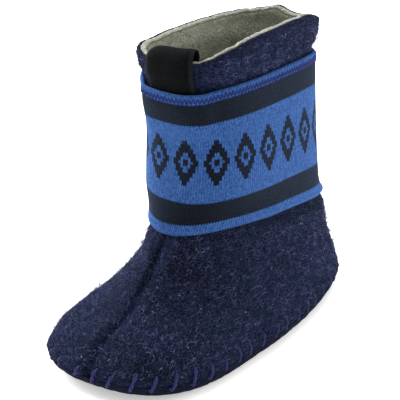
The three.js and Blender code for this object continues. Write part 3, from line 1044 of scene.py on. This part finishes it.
def knitMaterial(look):
    # ribbed knit: stripes across the band with saw-toothed borders, a row of small rhombi between them, and
    # painted shade that darkens the grooves between the wales
    material, tree, shader = newMaterial("stripedKnit", 0.8, 0.12, (0.28, 0.50, 0.95), 0.06)
    around, up = patternPlace(tree)
    wales = times(tree, around, float(waleCount))
    courses = times(tree, up, look["courses"])
    inWale = sums(tree, "ABSOLUTE", sums(tree, "SUBTRACT", sums(tree, "FRACT", wales), 0.5))
    slanted = plus(tree, courses, times(tree, inWale, look["slant"]))
    step = sums(tree, "DIVIDE", sums(tree, "FLOOR", slanted), look["courses"])
    fromMiddle = sums(tree, "ABSOLUTE", sums(tree, "SUBTRACT", step, 0.5))
    pastInner = sums(tree, "GREATER_THAN", fromMiddle, look["stripeInner"])
    darkStripe = times(tree, pastInner, sums(tree, "LESS_THAN", fromMiddle, look["stripeOuter"]))
    inMotif = sums(tree, "MODULO", sums(tree, "FLOOR", wales), look["motifWales"])
    inMotif = sums(tree, "ABSOLUTE", sums(tree, "SUBTRACT", inMotif, look["motifWales"] / 2 - 0.5))
    upMotif = times(tree, fromMiddle, look["courses"])
    motifX = sums(tree, "DIVIDE", inMotif, look["motifHalfWidth"])
    motifY = sums(tree, "DIVIDE", upMotif, look["motifHalfHeight"])
    rhombus = plus(tree, motifX, motifY)
    insideRing = sums(tree, "LESS_THAN", rhombus, look["ringOuter"])
    ring = times(tree, insideRing, sums(tree, "GREATER_THAN", rhombus, look["ringInner"]))
    core = sums(tree, "LESS_THAN", rhombus, look["core"])
    dark = sums(tree, "MAXIMUM", darkStripe, sums(tree, "MAXIMUM", ring, core))
    here = objectPlace(tree)
    uneven = ramp(tree, noise(tree, here, 1000.0, 3.0, 0.7), (0.36, 0.0), (0.64, 1.0))
    blue = blend(tree, uneven, look["darkBlue"], look["lightBlue"])
    # painted shade: the blue darkened towards a deeper blue in each groove between wales
    paintedGrooveShade = ramp(tree, inWale, (0.30, 0.0), (0.5, 1.0))
    blue = blend(tree, times(tree, paintedGrooveShade, look["paintedGrooveShadeStrength"]), blue, look["paintedGrooveShade"])
    black = blend(tree, uneven, look["darkBlack"], look["lightBlack"])
    tree.links.new(blend(tree, dark, blue, black), shader.inputs["Base Color"])
    courseRound = sums(tree, "SINE", times(tree, sums(tree, "FRACT", slanted), math.pi))
    waleRound = sums(tree, "SUBTRACT", 1.0, times(tree, inWale, 1.6))
    relief = plus(tree, times(tree, courseRound, waleRound), times(tree, uneven, 0.3))
    bumpUp(tree, shader, relief, look["bump"], look["bumpDistance"])
    return material


finishPiece(knitBand, knitMaterial(knitLook), "elastic_band")
print("knit band:", len(knitBand.data.polygons), "quads")


hem = {
    "legs": 264, "pointsPerLeg": 5, "zigzagLow": 0.936, "zigzagHigh": 0.980, "zigzagLift": 0.18,
    "zigzagRadius": 0.23, "dots": 92, "dotPoints": 7, "dotHeight": 0.022, "dotLength": 1.1, "dotLift": 0.1,
    "dotDip": 0.22, "dotRadius": 0.16, "hemLength": 205.0,
}


def zigzagPath():
    # thread that swings between two heights of the band while it goes round it
    legs = hem["legs"]
    t = np.linspace(0, 1, legs * hem["pointsPerLeg"] + 1)
    swing = np.abs((t * legs) % 2 - 1)
    heights = hem["zigzagLow"] + (hem["zigzagHigh"] - hem["zigzagLow"]) * swing
    angle = bandAngleAt(t)
    points, share = bandSurface(heights, angle, band["thickness"] + hem["zigzagLift"])
    return points[None], skinNormal(share, angle)[None]


def hemDots():
    # short running stitches along the lower hem, whose ends dip into the knit
    start = np.arange(hem["dots"]) / hem["dots"]
    along = np.linspace(-1, 1, hem["dotPoints"])
    t = along / 2 * hem["dotLength"] / hem["hemLength"]
    angle = bandAngleAt((start[:, None] + t[None, :]) % 1.0)
    heights = np.full(angle.shape, hem["dotHeight"])
    points, share = bandSurface(heights, angle, band["thickness"] + hem["dotLift"])
    facing = skinNormal(share, angle)
    dip = hem["dotDip"] * np.abs(along) ** 3
    return points - facing * dip[None, :, None], facing


zigzag, zigzagFacing = zigzagPath()
hemZigzag = threadPiece("hemZigzag", zigzag, hem["zigzagRadius"], 6, zigzagFacing)
royalThread = threadMaterial("royalThread", (0.004, 0.009, 0.070), (0.010, 0.022, 0.165))
finishPiece(hemZigzag, royalThread)
dots, dotsFacing = hemDots()
hemStitches = threadPiece("hemStitches", dots, hem["dotRadius"], 5, dotsFacing)
paleThread = threadMaterial("paleThread", (0.06, 0.12, 0.34), (0.18, 0.26, 0.52))
finishPiece(hemStitches, paleThread)
print("band stitches done")


# Pull loop

patternScale = 100.0    # millimetres in one unit of the webbing's pattern coordinates


def frontAngle(share, distance):
    # angle at which the front of the surface is this far from the seam
    sine = (np.abs(distance) / ballHalf(share)) ** (1 / squareToe(share))
    return np.sign(distance) * np.arcsin(np.clip(sine, 0, 1))


def loopStation(leg, t, thread, side, thickness):
    # a row of the webbing: up the outside, in an arch over the collar, or down the lining
    outerMiddle = band["clearance"] + pull["thickness"] / 2
    innerMiddle = -wall - outerMiddle
    half = thickness / 2 * side
    x = pull["shift"] + thread * pull["width"] / 2
    collarAngle = frontAngle(np.ones_like(x), x)
    rim = skin(1.0, collarAngle)[..., 2]
    if leg == "arch":
        turned = math.pi * t
        crown = pull["stand"] + pull["tilt"] * thread - pull["thickness"] / 2
        stand = crown * (1 - pull["edgeFall"] * thread**4) + half
        middle = (outerMiddle + innerMiddle - pull["slack"]) / 2
        reach = (outerMiddle - innerMiddle + pull["slack"]) / 2 + half
        points = levelOffset(np.ones_like(x), collarAngle, middle + reach * math.cos(turned))
        points[..., 2] += stand * math.sin(turned)
        return points
    start = bandHigh(collarAngle) - pull["tuck"]
    level = start + (rim - start) * t if leg == "outer" else rim - pull["inside"] * t
    share = shareAtLevel(level, collarAngle)
    angle = frontAngle(share, x)
    offset = outerMiddle + half if leg == "outer" else innerMiddle - pull["slack"] * (1 - t) ** 2 - half
    return levelOffset(share, angle, offset)


def webbingLoops():
    # cross sections of the tape, thinner towards its two edges
    cross = np.linspace(-1, 1, 41)
    bulge = pull["thickness"] * (1 - 0.75 * np.abs(cross) ** 10)
    stations = [("outer", t) for t in np.linspace(0, 1, 40)[:-1]]
    stations += [("arch", t) for t in np.linspace(0, 1, 44)]
    stations += [("inner", t) for t in np.linspace(0, 1, 40)[1:]]
    rows = []
    for leg, t in stations:
        top = loopStation(leg, t, cross, 1, bulge)
        under = loopStation(leg, t, cross, -1, bulge)
        rows.append(np.concatenate([top, under[::-1]]))
    return np.array(rows)


def stripPiece(name, rows):
    # closed flat strip: cross sections joined along it, each end closed between its two faces
    count = rows.shape[1]
    faces = loopFaces(len(rows), count, False).tolist()
    j = np.arange(count // 2 - 1)
    opposite = count - 1 - j
    end = (len(rows) - 1) * count
    faces += np.stack([j, opposite, opposite - 1, j + 1], axis=-1).tolist()
    faces += np.stack([end + j, end + j + 1, end + opposite - 1, end + opposite], axis=-1).tolist()
    lengths = runningTotal(stepLengths(rows[:, count // 4])) / patternScale
    width = pull["width"] / patternScale
    over = np.linspace(0, width, count // 2)
    columnPlace = np.concatenate([over, over[::-1], over[:1]])
    places = loopPlaces(lengths, columnPlace)
    return makeMesh(name, rows, faces, np.concatenate([places, np.zeros((8 * len(j), 2))]))


def webbingMaterial():
    # plain woven tape: fine ribs across, threads along, and a painted highlight that lightens both edges
    material, tree, shader = newMaterial("blackWebbing", 0.9, 0.0, (1, 1, 1), 0.05)
    acrossTape, alongTape = patternPlace(tree)
    over = sums(tree, "SINE", times(tree, acrossTape, turn * patternScale / 0.9))
    along = sums(tree, "SINE", times(tree, alongTape, turn * patternScale / 1.2))
    weave = times(tree, over, along)
    grain = noise(tree, objectPlace(tree), 900.0, 3.0, 0.6)
    colour = ramp(tree, grain, (0.35, (0.0010, 0.0014, 0.0016)), (0.70, (0.0034, 0.0044, 0.0048)))
    tapeMiddle = pull["width"] / patternScale / 2
    fromMiddle = sums(tree, "ABSOLUTE", sums(tree, "SUBTRACT", acrossTape, tapeMiddle))
    # painted highlight: the tape lighter along both edges, where they catch the light
    paintedEdgeHighlight = ramp(tree, times(tree, fromMiddle, 10.0), (0.80, 0.0), (0.87, 1.0))
    colour = blend(tree, times(tree, paintedEdgeHighlight, 0.5), colour, (0.013, 0.015, 0.018))
    tree.links.new(colour, shader.inputs["Base Color"])
    bumpUp(tree, shader, plus(tree, weave, grain), 0.5, 0.0002)
    return material


webbing = stripPiece("webbingLoop", webbingLoops())
finishPiece(webbing, webbingMaterial(), "pull_loop")
print("pull loop done")


# Loose wool fibres

def fibrePaths(look):
    # a fibre starts anywhere on the felt, as likely on each square millimetre, and runs on
    # in a random direction with a bend; a lying one rises and comes back, height * sin(pi * t),
    # and a standing one keeps rising, height * t
    rng = np.random.default_rng(look["seed"])
    low, high = look["shares"]
    tries = 3 * look["count"]
    shares = rng.uniform(low, high, tries)
    angle = rng.uniform(0, turn, tries)
    aroundStep = (skin(shares, angle + 0.01) - skin(shares, angle - 0.01)) / 0.02
    upStep = (skin(np.minimum(1, shares + 0.01), angle) - skin(np.maximum(0, shares - 0.01), angle)) / 0.02
    area = np.linalg.norm(np.cross(aroundStep, upStep), axis=-1)
    kept = np.flatnonzero(rng.uniform(0, np.percentile(area, 98), tries) < area)[:look["count"]]
    shares, angle = shares[kept], angle[kept]
    aroundSize = np.linalg.norm(aroundStep[kept], axis=-1)
    upSize = np.linalg.norm(upStep[kept], axis=-1)
    count = len(kept)
    heading = rng.uniform(0, turn, count)
    bend = rng.normal(0, 0.9, count)
    size = look["length"] * rng.uniform(0.5, 1.4, count)
    t = np.linspace(0, 1, look["steps"])
    turned = heading[:, None] + bend[:, None] * t[None, :]
    stepX = np.cumsum(np.cos(turned), axis=1) / look["steps"] * size[:, None]
    stepY = np.cumsum(np.sin(turned), axis=1) / look["steps"] * size[:, None]
    shares = np.clip(shares[:, None] + stepY / upSize[:, None], low, high)
    angle = angle[:, None] + stepX / aroundSize[:, None]
    highest = look["lift"] * rng.uniform(0.1, 1.0, (count, 1)) ** 1.5
    if look["standing"]:
        height = highest * t[None, :]
    else:
        height = highest * np.sin(math.pi * np.minimum(1, t * rng.uniform(0.5, 1.1, (count, 1))))
    if look["inside"]:
        points = levelOffset(shares, angle, -wall)
        normal = -skinNormal(shares, angle)
    else:
        points, normal = feltSurface(shares, angle)
    return points + normal * (height - 0.05)[..., None], normal


def uncovered(fibres):
    # true for fibres that are off the floor, clear of the band's edges and not behind the pull loop
    around = np.arctan2(fibres[:, 0, 0], -fibres[:, 0, 1])
    level = fibres[:, 0, 2]
    margin = 1.8
    banded = (level > bandLow(around) - margin) & (level < bandHigh(around) + margin)
    beside = np.abs(fibres[..., 0] - pull["shift"]).min(axis=1) - pull["width"] / 2
    looped = (beside < 1.0) & (fibres[:, 0, 1] < 0) & (level > bandHigh(around))
    return (fibres[..., 2].min(axis=1) > 1.0) & ~banded & ~looped


def fibreMaterial(name, dark, pale):
    material, tree, shader = newMaterial(name, 0.8, 0.15, pale, 0.15)
    tone = ramp(tree, noise(tree, objectPlace(tree), 300.0, 2.0, 0.6), (0.40, dark), (0.64, pale))
    tree.links.new(tone, shader.inputs["Base Color"])
    return material


fibreLook = {
    "seed": 101, "count": 2600, "steps": 4, "shares": (0.02, 0.99), "length": 2.6, "lift": 0.7,
    "radius": 0.060, "dark": (0.004, 0.004, 0.010), "pale": (0.042, 0.043, 0.100),
    "standing": False, "inside": False,
}
fibreSets = {
    "navyFibres": fibreLook,
    "greyFibres": dict(
        fibreLook, seed=105, count=2200, length=2.2, radius=0.055, dark=(0.010, 0.020, 0.028),
        pale=(0.095, 0.110, 0.145),
    ),
    "paleFibres": dict(
        fibreLook, seed=102, count=620, length=2.0, lift=0.8, radius=0.050, dark=(0.11, 0.12, 0.18),
        pale=(0.38, 0.40, 0.52),
    ),
    "woolNeps": dict(
        fibreLook, seed=106, count=70, length=0.8, lift=0.5, radius=0.120, dark=(0.34, 0.34, 0.40),
        pale=(0.68, 0.66, 0.72),
    ),
    "strayHairs": dict(
        fibreLook, seed=103, count=4000, shares=(0.03, 0.985), length=3.2, lift=2.8, radius=0.048,
        dark=(0.022, 0.026, 0.068), pale=(0.130, 0.148, 0.320),
    ),
    "fuzzHairs": dict(
        fibreLook, seed=107, count=17500, steps=3, shares=(0.03, 0.985), length=1.7, lift=2.3, radius=0.050,
        dark=(0.018, 0.021, 0.056), pale=(0.120, 0.148, 0.380), standing=True,
    ),
    "liningFibres": dict(
        fibreLook, seed=104, count=1700, shares=(0.35, 1.0), length=3.4, lift=0.9, radius=0.050,
        dark=(0.16, 0.155, 0.11), pale=(0.56, 0.55, 0.45), inside=True,
    ),
}
for name, look in fibreSets.items():
    fibres, fibreFacing = fibrePaths(look)
    if not look["inside"]:
        clear = uncovered(fibres)
        fibres, fibreFacing = fibres[clear], fibreFacing[clear]
    piece = threadPiece(name, fibres, look["radius"], 3, fibreFacing, 0.5)
    finishPiece(piece, fibreMaterial(name + "Wool", look["dark"], look["pale"]))
    print(name, len(fibres))


# Floor, light and camera

cameraLook = {
    "azimuth": 39.46, "elevation": 22.87, "distance": 775.8, "focal": 2191.6, "roll": -1.01,
    "aim": (1.11, -5.8, 55.0), "centreX": 197.86, "centreY": 193.1, "frameSize": 400.0, "sensor": 36.0,
}


def makeCamera():
    look = cameraLook
    a, e, r = (math.radians(look[k]) for k in ("azimuth", "elevation", "roll"))
    back = Vector((math.sin(a) * math.cos(e), -math.cos(a) * math.cos(e), math.sin(e)))
    right = Vector((math.cos(a), math.sin(a), 0))
    up = back.cross(right)
    rolledRight = right * math.cos(r) + up * math.sin(r)
    rolledUp = up * math.cos(r) - right * math.sin(r)
    aim = Vector(look["aim"]) - Vector(placeShift)
    data = bpy.data.cameras.new("photoCamera")
    data.sensor_width = look["sensor"]
    data.lens = look["focal"] / look["frameSize"] * look["sensor"]
    data.shift_x = 0.5 - look["centreX"] / look["frameSize"]
    data.shift_y = look["centreY"] / look["frameSize"] - 0.5
    data.clip_start = 0.05
    data.clip_end = 20
    camera = bpy.data.objects.new("photoCamera", data)
    matrix = Matrix((rolledRight, rolledUp, back)).transposed().to_4x4()
    matrix.translation = (aim + back * look["distance"]) * mm
    camera.matrix_world = matrix
    bpy.context.scene.collection.objects.link(camera)
    bpy.context.scene.camera = camera


def makeFloor():
    reach = 6.0 / mm
    corners = [(-reach, -reach, 0), (reach, -reach, 0), (reach, reach, 0), (-reach, reach, 0)]
    floor = makeMesh("floor", corners, [(0, 1, 2, 3)])
    material, _, shader = newMaterial("paleFloor", 0.9, 0.0, (1, 1, 1), 0.1)
    shader.inputs["Base Color"].default_value = (0.92, 0.92, 0.92, 1)
    shader.inputs["Emission Color"].default_value = (1, 1, 1, 1)
    shader.inputs["Emission Strength"].default_value = 0.4
    floor.data.materials.append(material)


# a row for each light: place and size in metres, power in watts
softboxes = {
    "topSoftbox": ((-0.2, 0.2, 1.2), (1.2, 1.2), 16.0),
    "leftSoftbox": ((-1.05, 0.05, 0.45), (0.7, 0.8), 21.0),
    "rightSoftbox": ((0.75, 0.95, 0.40), (0.7, 0.8), 9.0),
}
middleOfBoot = Vector((0.0, 0.0, 0.05))


def softLight(name, position, size, power):
    data = bpy.data.lights.new(name, "AREA")
    data.shape = "RECTANGLE"
    data.size, data.size_y = size
    data.energy = power
    light = bpy.data.objects.new(name, data)
    light.location = position
    light.rotation_euler = (middleOfBoot - Vector(position)).to_track_quat("-Z", "Y").to_euler()
    bpy.context.scene.collection.objects.link(light)


makeCamera()
makeFloor()
for name, (position, size, power) in softboxes.items():
    softLight(name, position, size, power)
world = bpy.data.worlds.new("studio")
world.use_nodes = True
background = world.node_tree.nodes["Background"]
background.inputs[0].default_value = (1, 1, 1, 1)
background.inputs[1].default_value = 0.75
bpy.context.scene.world = world
bpy.context.scene.view_settings.view_transform = "Standard"
print("camera, floor and light done")
meshes = [item.data for item in bpy.context.scene.objects if item.type == "MESH"]
print("triangles in the scene:", sum(len(mesh.loops) - 2 * len(mesh.polygons) for mesh in meshes))
